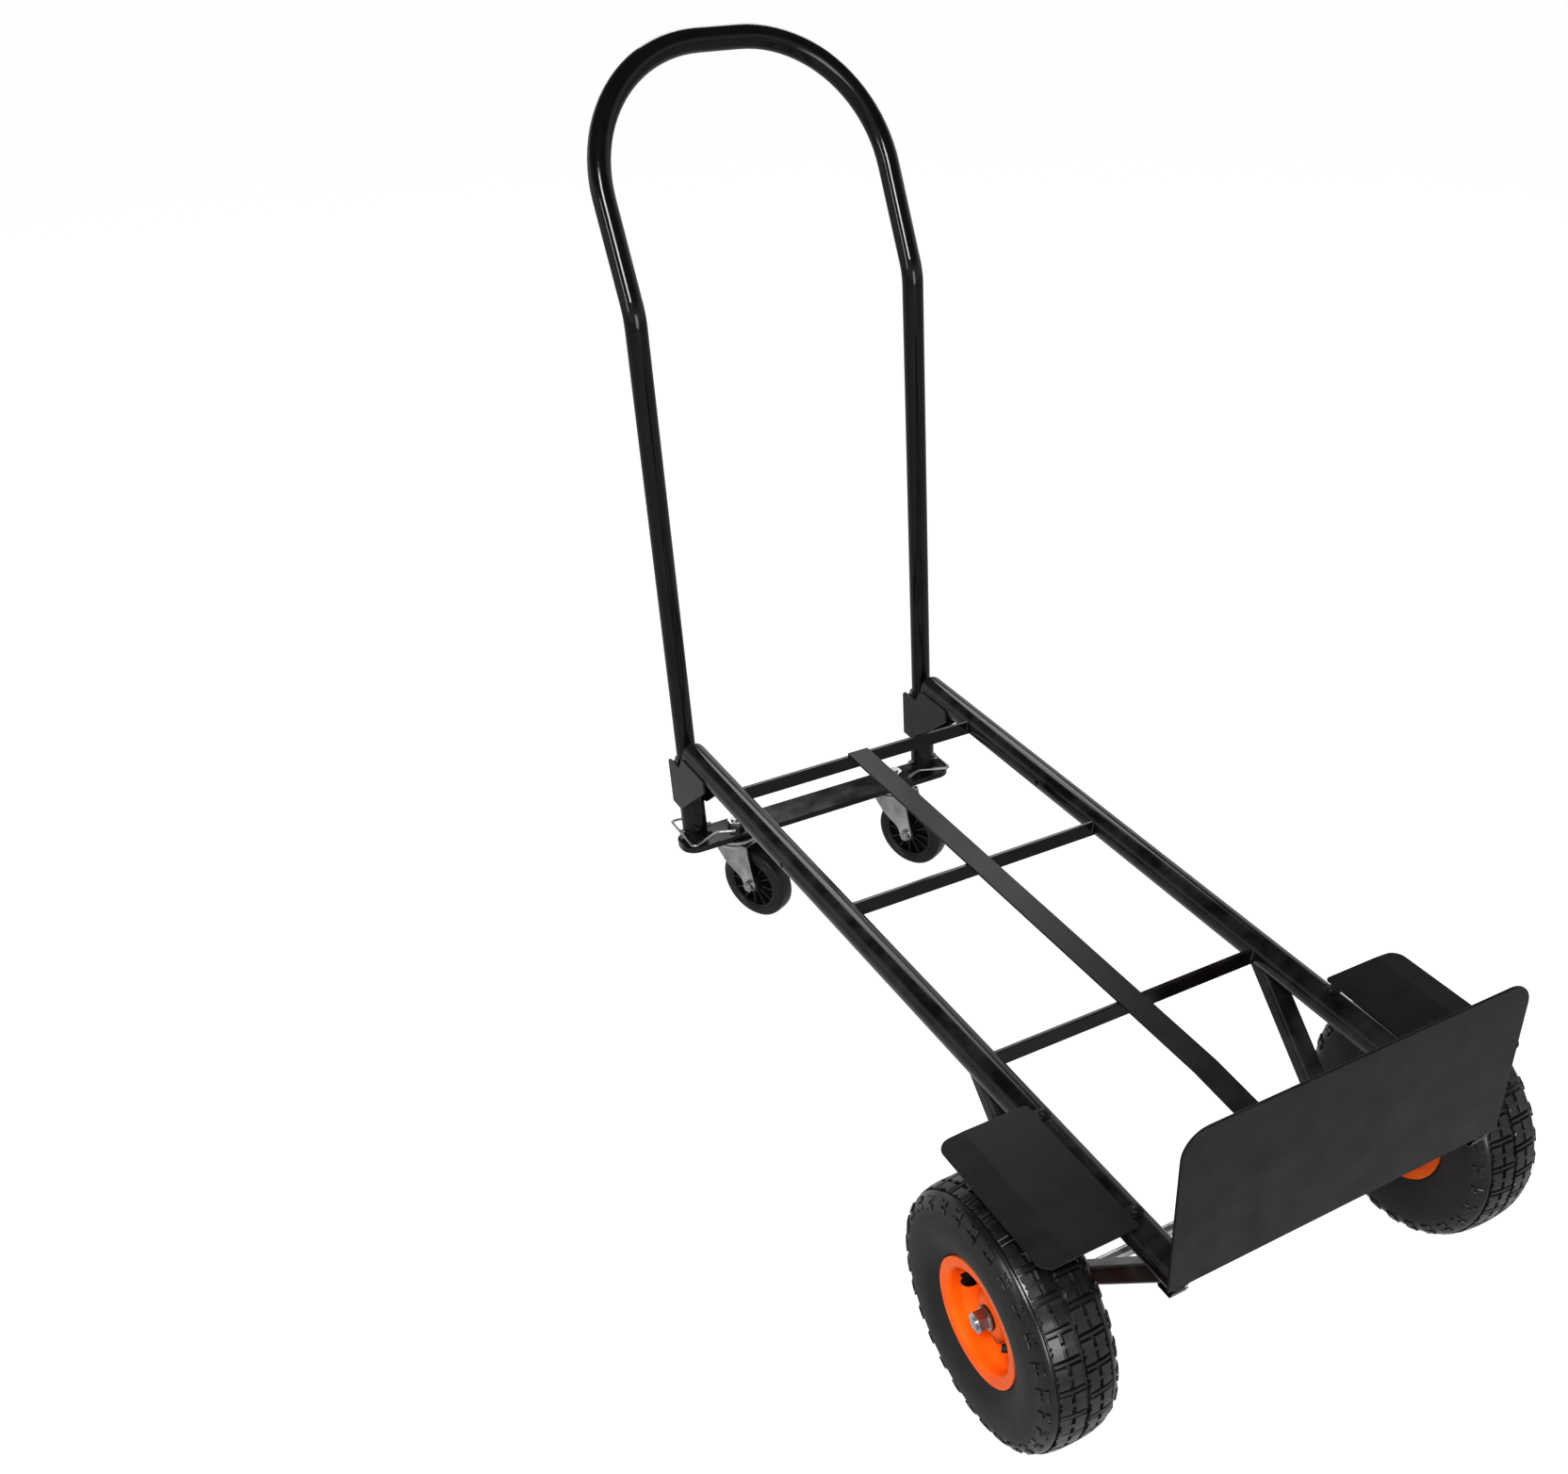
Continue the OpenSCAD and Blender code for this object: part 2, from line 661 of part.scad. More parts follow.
module caster_axle(side) {
    out = cheek_y + cheek_t;
    bolt_head = 5.3;
    color(ZINC) at_caster_wheel(side) {
        cylinder(h = 2 * out + 2 * bolt_head + 2, r = caster_bolt_d / 2, center = true);
        for (s = [0, 1]) mirror([0, 0, s]) translate([0, 0, out]) hexagon(13, bolt_head);
    }
}

// ---- handle and its clips ----

// Both legs, the lean, the arms and the grip as round bar of radius r
module handle_bar(r) {
    leg_len = kink_z - kink_tangent - foot_z;
    straight = arm_len - kink_tangent;
    translate([leg_x - kink_r, 0, kink_z - kink_tangent]) {
        for (side = [RIGHT, LEFT]) translate([0, side * rail_y, 0]) {
            translate([kink_r, 0, -leg_len]) cylinder(h = leg_len + LAP, r = r);
            rotate([90, 0, 0]) rotate_extrude(angle = handle_lean) translate([kink_r, 0]) circle(r + SWELL);
        }
        rotate([0, -handle_lean, 0]) translate([kink_r, 0, 0]) {
            for (side = [RIGHT, LEFT]) translate([0, side * rail_y, -LAP])
                cylinder(h = straight + 2 * LAP, r = r);
            for (side = [0, 1]) mirror([0, side, 0]) translate([0, rail_y - grip_r, straight])
                rotate([90, 0, 90]) rotate_extrude(angle = 90) translate([grip_r, 0]) circle(r + SWELL);
            along_y(0, grip_r - rail_y - LAP, straight + grip_r, 2 * (rail_y - grip_r + LAP), r);
        }
    }
}

module handle() {
    slot_r = pin_d / 2 + CLEAR;
    color(BLACK) difference() {
        handle_bar(handle_od / 2);
        handle_bar(handle_od / 2 - handle_wall);
        for (side = [RIGHT, LEFT]) {
            along_y(leg_x, side * rail_y - handle_od, pin_z, 2 * handle_od, slot_r);
            translate([leg_x - slot_r, side * rail_y - handle_od, foot_z - 1])
                cube([2 * slot_r, 2 * handle_od, pin_z - foot_z + 1]);
        }
    }
}

// Drawn for the left-hand socket: the pin lies across it, the wire outside it
module clip(side) {
    wire = wire_d / 2;
    head = rail_y + rail_od / 2 + 2.5;
    tip = rail_y - rail_od / 2 - 6;
    wire_y = head + wire;
    spring_leg = [[rail_od / 2 + 19, 5, -113], [34, 7, 47], [20, 0, 0]];
    hook = [[rail_od / 2 + 11, 4, -90], [6, 4, -77], [9, 0, 0]];
    color(ZINC) translate([leg_x, 0, pin_z]) mirror([0, side < 0 ? 1 : 0, 0]) {
        along_y(0, tip, 0, head - tip, pin_d / 2);
        along_y(0, head - 1, 0, 1 + wire, pin_d / 2 + 1);
        translate([0, wire_y, 0]) wire_run(spring_leg, wire);
        translate([0, wire_y, 0]) mirror([1, 0, 0]) wire_run(hook, wire);
    }
}

// ---- pneumatic wheels: drawn about the z axis, outer side up ----

module at_wheel(side) {
    translate([axle_x, side * wheel_y, axle_z]) rotate([-90 * side, 0, 0]) children();
}

flange_face = rim_w / 2 - rim_t;
seat_out = seat_r + rim_t / 2;
bead_r = seat_out + 0.1;
bead_y = flange_face - 0.1;

// Half of the tyre's outside, from the toe of the bead to the crown
function tyre_skin() = rounded_path([
    [bead_r, bead_y - 13, 0], [bead_r, bead_y, 3.5], [flange_r + 1, bead_y, 2],
    [flange_r + 12, tyre_w / 2 - 0.5, 16], [wheel_r - 20, tyre_w / 2, 16], [wheel_r - 5, tyre_w / 2 - 9, 6],
    [wheel_r, column_w / 2, 0], [wheel_r, 0, 0]], 4);

// Half of the tyre's inside, from the crown back to the toe of the bead
function tyre_lining() = rounded_path([
    [wheel_r - 10, 0, 0], [wheel_r - 14, tyre_w / 2 - 14, 14], [wheel_r - 26, tyre_w / 2 - 6, 14],
    [flange_r + 14, tyre_w / 2 - 6, 14], [bead_r + 7, bead_y - 9, 5], [bead_r, bead_y - 13, 0]], 5);

// One straight cut of the tread at a degrees: w wide, l along the tread from y, its floor at radius r and
// falling away from the middle by dip degrees
module tread_cut(a, w, l, y, r, dip) {
    rotate([0, 0, a]) translate([r, -w / 2, y]) rotate([0, -dip, 0]) cube([4 * tread_t, w, l]);
}

// A groove right round the tread from y, w wide, its floor at radius r
module tread_ring(w, y, r) {
    rotate_extrude($fn = 120) translate([r, y]) square([4 * tread_t, w]);
}

// Each half of the tread is a column of blocks linked in pairs, and then the lugs of the shoulder, which
// stand half a block on. The floors step down by tread_step from one groove to the next.
module half_tread(phase) {
    pitch = 360 / tread_n;
    floor_r = wheel_r - tread_t;
    edge = tread_gap / 2 + column_w;
    slot = edge / 2;
    slot_l = 2 * PI * wheel_r / tread_n - 1.5 * tread_gap;
    for (k = [0:tread_n - 1]) {
        tread_cut((k + phase) * pitch, 2 * tread_gap, edge + tread_gap / 2, 0, floor_r, crown_dip);
        tread_cut((k + phase) * pitch, slot_l, tread_gap, slot,
            floor_r - slot * tan(crown_dip) + tread_step, crown_dip);
        tread_cut((k + phase + 0.5) * pitch, 4 * tread_gap, tyre_w / 2, edge + tread_gap / 3,
            floor_r - 2 * tread_step, lug_dip);
    }
    tread_ring(1.6 * tread_gap, edge, floor_r - edge * tan(crown_dip) - tread_step);
}

module tyre(side) {
    color(RUBBER) at_wheel(side) difference() {
        rotate_extrude($fn = 120)
            polygon(concat(tyre_skin(), mirrored(tyre_skin()), mirrored(tyre_lining()), tyre_lining()));
        tread_ring(tread_gap, -tread_gap / 2, wheel_r - tread_t + tread_step);
        half_tread(0);
        mirror([0, 0, 1]) half_tread(0.5);
    }
}

tube_mid = (bead_r + wheel_r) / 2;
function inward(pts, d) = [for (p = pts) p + unit([tube_mid, 0] - p) * d];

// The inner tube fills the tyre down to the bead seats, d inside them
function tube_outline(d) =
    let (lining = tyre_lining(), half = concat(inward([for (i = [0:len(lining) - 2]) lining[i]], d),
        [[seat_out + d, bead_y - 13 - d]]))
    concat(half, mirrored(half));

valve_from = [seat_r + 2.5, 2];
valve_to = [seat_r - 16, rim_w / 2 - 4];

module valve_line(r) {
    rod([valve_from[0], 0, valve_from[1]], [valve_to[0], 0, valve_to[1]], r);
}

module inner_tube(side) {
    color(RUBBER) at_wheel(side) difference() {
        union() {
            rotate_extrude($fn = 120) polygon(tube_outline(CLEAR));
            valve_line(4);
        }
        rotate_extrude($fn = 120) polygon(tube_outline(CLEAR + 2));
        valve_line(1);
    }
}

// Middle of the pressed sheet of one rim half, from the flange's lip to the hub
function rim_path() = rounded_path([
    [flange_r, rim_w / 2 - rim_t / 2 + 0.6, 0], [seat_r, rim_w / 2 - rim_t / 2, 4], [seat_r, rim_w / 2 - 14, 8],
    [seat_r - 8, rim_t / 2, 4], [seat_r - 15, rim_t / 2, 5], [hub_od / 2 + 7, hub_len / 2 - 3, 6],
    [hub_od / 2, hub_len / 2 - 2.5, 0]], 5);

module rim_half() {
    color(ORANGE) difference() {
        rotate_extrude($fn = 96) polygon(sheet(rim_path(), rim_t));
        cylinder(h = rim_w, r = hub_od / 2, center = true);
    }
}

// Oval window in the well, turned a degrees round the wheel
module valve_window(a) {
    for (k = [-1, 1]) rotate([0, 0, a + 5 * k]) valve_line(7.5);
}

module rim_outer(side) {
    color(ORANGE) at_wheel(side) difference() {
        rim_half();
        for (a = [0, 180]) valve_window(a);
    }
}

module rim_inner(side) { at_wheel(side) mirror([0, 0, 1]) rim_half(); }

bush_wall = 2.5;
module hub(side) {
    color(ORANGE) at_wheel(side) difference() {
        cylinder(h = hub_len - 4, r = hub_od / 2, center = true);
        cylinder(h = hub_len, r = hub_od / 2 - bush_wall, center = true);
    }
}

module hub_bushes(side) {
    deep = 16;
    color(PLASTIC) at_wheel(side) for (s = [0, 1]) mirror([0, 0, s]) difference() {
        union() {
            translate([0, 0, hub_len / 2 - 2]) cylinder(h = 2, r = hub_od / 2);
            translate([0, 0, hub_len / 2 - deep]) cylinder(h = deep, r = hub_od / 2 - bush_wall - SEAT);
        }
        translate([0, 0, hub_len / 2 - deep - 1]) cylinder(h = deep + 2, r = axle_d / 2 + FIT);
    }
}

rail(RIGHT);  // rail_right
rail(LEFT);  // rail_left
crossbar(crossbar_head_at);  // crossbar_head
crossbar(crossbar_middle_at);  // crossbar_middle
crossbar(crossbar_toe_at);  // crossbar_toe
centre_strap();
toe_plate();
fender(RIGHT);  // fender_right
fender(LEFT);  // fender_left
fender_bolts();
strut_rear(RIGHT);  // strut_rear_right
strut_rear(LEFT);  // strut_rear_left
strut_front(RIGHT);  // strut_front_right
strut_front(LEFT);  // strut_front_left
axle();
axle_nuts();
axle_washers();
axle_spacers();
socket(RIGHT);  // socket_right
socket(LEFT);  // socket_left
gusset(RIGHT);  // gusset_right
gusset(LEFT);  // gusset_left
caster_bar();
rail_bushes();
socket_bushes();
kingpins();
kingpin_nuts();
swivel_cups();
handle();
clip(RIGHT);  // clip_right
clip(LEFT);  // clip_left
tyre(RIGHT);  // tyre_right
tyre(LEFT);  // tyre_left
inner_tube(RIGHT);  // inner_tube_right
inner_tube(LEFT);  // inner_tube_left
rim_outer(RIGHT);  // rim_outer_right
rim_outer(LEFT);  // rim_outer_left
rim_inner(RIGHT);  // rim_inner_right
rim_inner(LEFT);  // rim_inner_left
hub(RIGHT);  // hub_right
hub(LEFT);  // hub_left
hub_bushes(RIGHT);  // hub_bushes_right
hub_bushes(LEFT);  // hub_bushes_left
caster_fork(RIGHT);  // caster_fork_right
caster_fork(LEFT);  // caster_fork_left
ball_race(RIGHT);  // ball_race_right
ball_race(LEFT);  // ball_race_left
caster_tyre(RIGHT);  // caster_tyre_right
caster_tyre(LEFT);  // caster_tyre_left
caster_core(RIGHT);  // caster_core_right
caster_core(LEFT);  // caster_core_left
caster_axle(RIGHT);  // caster_axle_right
caster_axle(LEFT);  // caster_axle_left
caster_sleeve(RIGHT);  // caster_sleeve_right
caster_sleeve(LEFT);  // caster_sleeve_left
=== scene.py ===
# %% [markdown]
# The truck is already built as exact solids. This script loads them as a fixed frame, gives every
# solid its finish, and adds finer pieces: rounded plate edges, the moulded tread, grooved caster
# tyres, weld beads, rim bolts and two small tabs. Places are measured on the frame, in metres.

# %% Load the frame
import bpy, bmesh, json, math
from mathutils import Matrix, Vector, noise


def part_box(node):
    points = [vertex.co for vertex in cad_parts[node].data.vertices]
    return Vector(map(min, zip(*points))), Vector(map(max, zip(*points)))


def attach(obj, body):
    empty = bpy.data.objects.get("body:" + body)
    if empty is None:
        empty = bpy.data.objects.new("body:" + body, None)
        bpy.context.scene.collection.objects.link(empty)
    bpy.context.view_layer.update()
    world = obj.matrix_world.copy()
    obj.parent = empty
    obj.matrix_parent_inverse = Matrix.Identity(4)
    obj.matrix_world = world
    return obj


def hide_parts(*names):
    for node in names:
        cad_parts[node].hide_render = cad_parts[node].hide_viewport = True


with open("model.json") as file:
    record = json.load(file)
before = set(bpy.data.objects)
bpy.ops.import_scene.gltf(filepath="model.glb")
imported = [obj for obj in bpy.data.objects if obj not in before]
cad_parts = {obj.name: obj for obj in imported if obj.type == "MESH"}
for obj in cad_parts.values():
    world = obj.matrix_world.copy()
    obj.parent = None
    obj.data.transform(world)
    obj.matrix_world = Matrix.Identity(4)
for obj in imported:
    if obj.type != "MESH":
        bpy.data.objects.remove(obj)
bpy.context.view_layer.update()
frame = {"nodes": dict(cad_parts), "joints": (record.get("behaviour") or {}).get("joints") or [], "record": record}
nodes = frame["nodes"]
body_of = {node: body for body, members in frame["record"]["behaviour"]["bodies"].items() for node in members}
slot_of = {part["node"]: part["material_slot"] for part in frame["record"]["subparts"]}

# %% [markdown]
# The camera stands above the toe end of the truck and looks back along it, a little from its
# right-hand side. Three turns aim it from looking along +Y: yaw about the vertical, then pitch, then
# roll. A small shift frames the truck without changing its perspective.

# %% Camera
camera = bpy.data.objects.new("camera", bpy.data.cameras.new("camera"))
bpy.context.collection.objects.link(camera)
yaw, pitch, roll = (math.radians(a) for a in (58.9, -35.6, -0.2))
camera.matrix_world = (Matrix.Translation((1.2610, -0.7952, 1.2795)) @ Matrix.Rotation(yaw, 4, "Z")
    @ Matrix.Rotation(math.pi / 2 + pitch, 4, "X") @ Matrix.Rotation(roll, 4, "Z"))
camera.data.lens = 37.07
camera.data.shift_x, camera.data.shift_y = -0.1145, 0.1105
bpy.context.scene.camera = camera
print("camera at", tuple(round(v, 3) for v in camera.matrix_world.translation))

# %% [markdown]
# Shader maths reads best as ordinary expressions. This class wraps one socket of a node tree, so that
# a * b or 1 - a adds the Math node, and make() adds any other node with its settings and its inputs.

# %% A wrapper for sockets
class Wire:
    def __init__(self, tree, socket=None):
        self.tree, self.socket = tree, socket

    def make(self, kind, output=0, settings=(), **inputs):
        node = self.tree.nodes.new("ShaderNode" + kind)
        for name, value in dict(settings).items():
            setattr(node, name, value)
        for name, value in inputs.items():
            self.plug(node.inputs[int(name[1:]) if name[1:].isdigit() else name.replace("_", " ")], value)
        return Wire(self.tree, node.outputs[output])

    def plug(self, socket, value):
        if isinstance(value, Wire):
            self.tree.links.new(value.socket, socket)
        else:
            socket.default_value = value

    def math(self, operation, *values):
        return self.make("Math", 0, {"operation": operation}, **{"n%d" % i: v for i, v in enumerate(values)})

    def __add__(self, other): return self.math("ADD", self, other)
    def __radd__(self, other): return self.math("ADD", other, self)
    def __sub__(self, other): return self.math("SUBTRACT", self, other)
    def __rsub__(self, other): return self.math("SUBTRACT", other, self)
    def __mul__(self, other): return self.math("MULTIPLY", self, other)
    def __rmul__(self, other): return self.math("MULTIPLY", other, self)

    def span(self, low, high):
        return self.make("MapRange", Value=self, From_Min=low, From_Max=high)

    def blend(self, first, second):
        ends = [v if isinstance(v, Wire) else (*v, 1) for v in (first, second)]
        return self.make("Mix", 2, {"data_type": "RGBA"}, n0=self, n6=ends[0], n7=ends[1])

    def feed(self, shader, **inputs):
        for name, value in inputs.items():
            self.plug(shader.inputs[name.replace("_", " ")], value)

def new_material(name):
    material = bpy.data.materials.new(name)
    material.use_nodes = True
    return material, Wire(material.node_tree), material.node_tree.nodes["Principled BSDF"]

print("socket wrapper ready")

# %% [markdown]
# Every finish is built the same way. A soft noise on object coordinates, a few centimetres across,
# varies the colour and the roughness. A fine noise becomes the bump: orange peel in the paint, grain in
# the rubber. Thin scratches, stretched noise that is cut to its peaks, are rubbed a little lighter. The
# sharp edges that Pointiness finds are lightened too, partly as rubbed paint and partly as a painted
# highlight along the edges. The specular level is the same all over, so it is set on the shader's own
# socket. Black paint under white light looks grey if it mirrors too much, so the black finishes have a
# low specular level and let the lamps draw the streaks.

# %% Finishes
def finish(name, dark, light, worn_and_highlight_colour, rough, grain, depth, patch=35.0, **constants):
    material, wire, shader = new_material(name)
    place = wire.make("TexCoord", "Object")
    patches = wire.make("TexNoise", Vector=place, Scale=patch, Detail=4.0)
    fine = wire.make("TexNoise", Vector=place, Scale=grain, Detail=2.0)
    long = wire.make("Mapping", Vector=place, Rotation=(0.3, 0.2, 0.6), Scale=(30.0, 700.0, 700.0))
    scratch = wire.make("TexNoise", Vector=long, Scale=1.0, Detail=1.0).span(0.70, 0.78)
    # Sharp edges are lightened: partly rubbed paint, partly a painted highlight along the edge
    edge = wire.make("NewGeometry", "Pointiness").span(0.53, 0.62)
    wear_and_edge_highlight = (edge * 0.7 + scratch * 0.3) * patches.span(0.35, 0.75)
    colour = wear_and_edge_highlight.blend(patches.span(0.3, 0.7).blend(dark, light), worn_and_highlight_colour)
    bump = wire.make("Bump", Height=fine, Strength=0.3, Distance=depth)
    wire.feed(shader, Base_Color=colour, Roughness=patches * (2 * rough[1]) + (rough[0] - rough[1]) + wear_and_edge_highlight * 0.1,
        Normal=bump, **constants)
    return material

finishes = {
    # The third colour of each finish is its rubbed-edge colour, which also serves as a painted edge highlight
    "gloss_black_paint": finish("gloss_black_paint", (.0016, .0016, .0018), (.0026, .0026, .0028), (.02, .02, .02),
        (.11, .03), 700, .00001, Specular_IOR_Level=0.19),
    "satin_black_paint": finish("satin_black_paint", (.0036, .0036, .0038), (.0052, .0052, .0054), (.03, .03, .03),
        (.34, .05), 1300, .00008, Specular_IOR_Level=0.12),
    "orange_paint": finish("orange_paint", (.86, .090, .003), (.98, .120, .004), (1.0, .20, .03),
        (.24, .05), 700, .00004, Specular_IOR_Level=0.07),
    "zinc_plate": finish("zinc_plate", (.28, .285, .29), (.37, .375, .38), (.75, .75, .77),
        (.30, .06), 500, .00006, 60.0, Metallic=1.0),
    "tyre_rubber": finish("tyre_rubber", (.0020, .0020, .0020), (.0045, .0045, .0045), (.02, .02, .02),
        (.27, .07), 900, .00006, 60.0, Specular_IOR_Level=0.32),
    "caster_rubber": finish("caster_rubber", (.0035, .0035, .0035), (.0065, .0065, .0065), (.02, .02, .02),
        (.36, .08), 900, .00010, 60.0, Specular_IOR_Level=0.25),
    "black_plastic": finish("black_plastic", (.0030, .0030, .0030), (.0050, .0050, .0050), (.02, .02, .02),
        (.28, .08), 1100, .00006, 60.0, Specular_IOR_Level=0.25),
}
# The fender screws were painted over with the frame, and flat steel takes the paint a little duller
dull = [node for node in nodes if node.startswith(("strut", "gusset"))] + ["fender_bolts"]
paint_of = dict(slot_of, **{node: "satin_black_paint" for node in dull})
for node, paint in paint_of.items():
    nodes[node].data.materials.clear()
    nodes[node].data.materials.append(finishes[paint])
print("finishes on the nodes:", sorted(finishes))

# %% [markdown]
# A new piece is finished once, in one place: its doubles are merged, its faces are turned outwards, its
# flat parts stay flat and its round parts shade smooth, and it rides on the body that carries it. A
# Weighted Normal modifier lets the large faces of a bevelled plate keep their own flat shading, so that
# only the narrow bevel bends the light.

# %% Make a piece from a bmesh
def add_piece(name, bm, body, slot, node=None, sharp=35, outward=True, even=False):
    bmesh.ops.remove_doubles(bm, verts=bm.verts, dist=1e-6)
    if outward:
        bmesh.ops.recalc_face_normals(bm, faces=bm.faces)
    mesh = bpy.data.meshes.new(name)
    bm.to_mesh(mesh)
    bm.free()
    mesh.shade_smooth()
    mesh.set_sharp_from_angle(angle=math.radians(sharp))
    mesh.materials.append(finishes[slot])
    piece = bpy.data.objects.new(name, mesh)
    bpy.context.collection.objects.link(piece)
    if even:
        piece.modifiers.new("even_normals", "WEIGHTED_NORMAL").keep_sharp = True
    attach(piece, body)
    if node:
        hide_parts(node)
    print(name, len(mesh.polygons), "faces, on", body)

# %% [markdown]
# Sheet metal never has a perfectly sharp edge: shearing and paint leave a radius of about half a
# millimetre, and that is what catches the light along the plates. The solids keep their plain edges, so
# each flat piece is copied, its loose triangles are merged into clean faces, and its sharp edges are
# beveled. The centre strap is cut square where it starts, flush with the head crossbar it is welded to.

# %% Rounded edges on the sheet metal
def merged_copy(node):
    bm = bmesh.new()
    bm.from_mesh(nodes[node].data)
    bmesh.ops.remove_doubles(bm, verts=bm.verts, dist=2e-6)
    bmesh.ops.dissolve_limit(bm, angle_limit=math.radians(1), verts=bm.verts, edges=bm.edges)
    return bm

def rounded(node, radius, cut_at=None):
    bm = merged_copy(node)
    if cut_at is not None:
        everything = list(bm.verts) + list(bm.edges) + list(bm.faces)
        cut = bmesh.ops.bisect_plane(bm, geom=everything, plane_co=(cut_at, 0, 0), plane_no=(1, 0, 0),
            clear_inner=True)
        bmesh.ops.edgenet_fill(bm, edges=[g for g in cut["geom_cut"] if isinstance(g, bmesh.types.BMEdge)])
    edges = [e for e in bm.edges if len(e.link_faces) == 2 and e.calc_face_angle() > math.radians(35)]
    bmesh.ops.bevel(bm, geom=edges, offset=radius, segments=2, affect="EDGES", profile=0.5, material=-1,
        clamp_overlap=True)
    # The fender's fold is only a few degrees, and it stays crisp
    sharp = 6 if "fender" in node else 50
    add_piece(node + "_rounded", bm, body_of[node], slot_of[node], node, sharp, even=True)

crossbars = ("crossbar_head", "crossbar_middle", "crossbar_toe")
for plate in ("toe_plate", "fender_right", "fender_left") + crossbars:
    rounded(plate, 0.0006)
rounded("centre_strap", 0.0005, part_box("crossbar_head")[0].x - 0.0005)

# %% [markdown]
# The pneumatic tyre is one moulding: a smooth carcass with shallow channels, and blocks that stand in
# them up to the level of the smooth shoulders. The carcass is a profile, half of it drawn and half
# mirrored, spun once round the axle. The profile is also the ruler for the blocks: skin() gives the
# point that lies a given way across the tread and a given height above the floor of the channels.

# %% The tyre's profile
low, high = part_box("axle")
axle = Vector(((low.x + high.x) / 2, 0, (low.z + high.z) / 2))
low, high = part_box("tyre_left")
tyre_mid, tyre_half, tyre_r = (low.y + high.y) / 2, (high.y - low.y) / 2, (high.z - low.z) / 2
tread = 0.0030      # height of the blocks
channel = 0.0292    # from the crown's middle to the channel's outer edge
drawn_half = .0424  # half the width of the profile as it is drawn

# The sidewalls are duller than the tread, which the floor polishes, and their colour is darkened as painted shade
wire = Wire(finishes["tyre_rubber"].node_tree)
shader = finishes["tyre_rubber"].node_tree.nodes["Principled BSDF"]
place = wire.make("TexCoord", "Object")
out_x = wire.make("SeparateXYZ", "X", Vector=place) - axle.x
out_z = wire.make("SeparateXYZ", "Z", Vector=place) - axle.z
sidewall_dull_and_shade = 1 - wire.math("POWER", out_x * out_x + out_z * out_z, 0.5).span(tyre_r - .024, tyre_r - .012)
painted = {name: Wire(wire.tree, shader.inputs[name].links[0].from_socket) for name in ("Base Color", "Roughness")}
# The sidewall's colour is blended darker here: painted shade
wire.feed(shader, Base_Color=sidewall_dull_and_shade.blend(painted["Base Color"], (.0016, .0016, .0016)),
    Roughness=painted["Roughness"] + sidewall_dull_and_shade * 0.35)

# From the crown's middle to the bead: offset along the axle, drop below the crown, and how much of the
# tread's depth is cut away there
outline = [(0, 0, 1), (.0070, .0001, 1), (.0140, .0005, 1), (.0210, .0014, 1), (.0270, .0030, 1), (.0285, .0037, 1),
    (.0292, .0041, 0), (.0330, .0067, 0), (.0364, .0104, 0), (.0390, .0150, 0), (.0410, .0210, 0), (.0421, .0280, 0),
    (.0424, .0350, 0), (.0418, .0430, 0), (.0402, .0500, 0), (.0378, .0555, 0), (.0350, .0600, 0), (.0326, .0635, 0)]
outline = [(y * tyre_half / drawn_half, tyre_r - drop, tall) for y, drop, tall in outline]

def skin(across, height=0.0):
    """Offset and radius of the point this far across the tread, height above the channel's floor."""
    left = abs(across)
    for (y0, r0, t0), (y1, r1, t1) in zip(outline, outline[1:]):
        step = math.hypot(y1 - y0, r1 - r0)
        if left <= step:
            break
        left -= step
    share = min(left / step, 1)
    out = Vector((-(r1 - r0), y1 - y0)) / step
    rise = height - tread * (t0 + (t1 - t0) * share)
    y, r = y0 + (y1 - y0) * share + out.x * rise, r0 + (r1 - r0) * share + out.y * rise
    return (y if across >= 0 else -y), r

print("tyre", round(tyre_r * 2, 4), "across and", round(tyre_half * 2, 4), "wide")

# %% The carcass
def carcass():
    steps = [channel * k / 10 for k in range(10)] + [channel - .0006, channel, channel + .0004]
    steps += [channel + .0018 * k for k in range(1, 37)]
    points = [skin(across) for across in steps]
    bead = outline[-1]
    points += [(bead[0] - .001, bead[1] - .002), (bead[0] - .013, bead[1] - .004)]
    ring = [(-y, r) for y, r in reversed(points[1:])] + points
    bm = bmesh.new()
    verts = [bm.verts.new((0, y, r)) for y, r in ring]
    edges = [bm.edges.new(pair) for pair in zip(verts, verts[1:] + verts[:1])]
    bmesh.ops.spin(bm, geom=verts + edges, cent=(0, 0, 0), axis=(0, 1, 0), angle=math.tau, steps=144, use_merge=True)
    return bm

# %% [markdown]
# The tread repeats one linked pair of blocks, one thin bar between the pairs, and one low shoulder lug.
# Each starts as a small flat grid, so that it has enough faces to follow the round of the tyre. The faces
# between the two blocks are deleted except at the link, the sides get small notches, the rest is
# extruded to its height, and the top edge is beveled. bend() then lays it on the tyre by moving its
# vertices: x goes round the axle, y across the tread, z out of it.

# %% One pair of blocks, one bar and one lug
def raised(bm, height, soft):
    base = list(bm.faces)
    top = bmesh.ops.extrude_face_region(bm, geom=base)["geom"]
    bmesh.ops.translate(bm, verts=[v for v in top if isinstance(v, bmesh.types.BMVert)], vec=(0, 0, height))
    bmesh.ops.delete(bm, geom=base, context="FACES_ONLY")
    bm.normal_update()
    rim = [e for e in bm.edges if len(e.link_faces) == 2 and min(v.co.z for v in e.verts) > height / 2
        and any(abs(f.normal.z) < .5 for f in e.link_faces) and any(f.normal.z > .5 for f in e.link_faces)]
    bmesh.ops.bevel(bm, geom=rim, offset=soft, segments=1, affect="EDGES", profile=0.5, material=-1)
    return bm

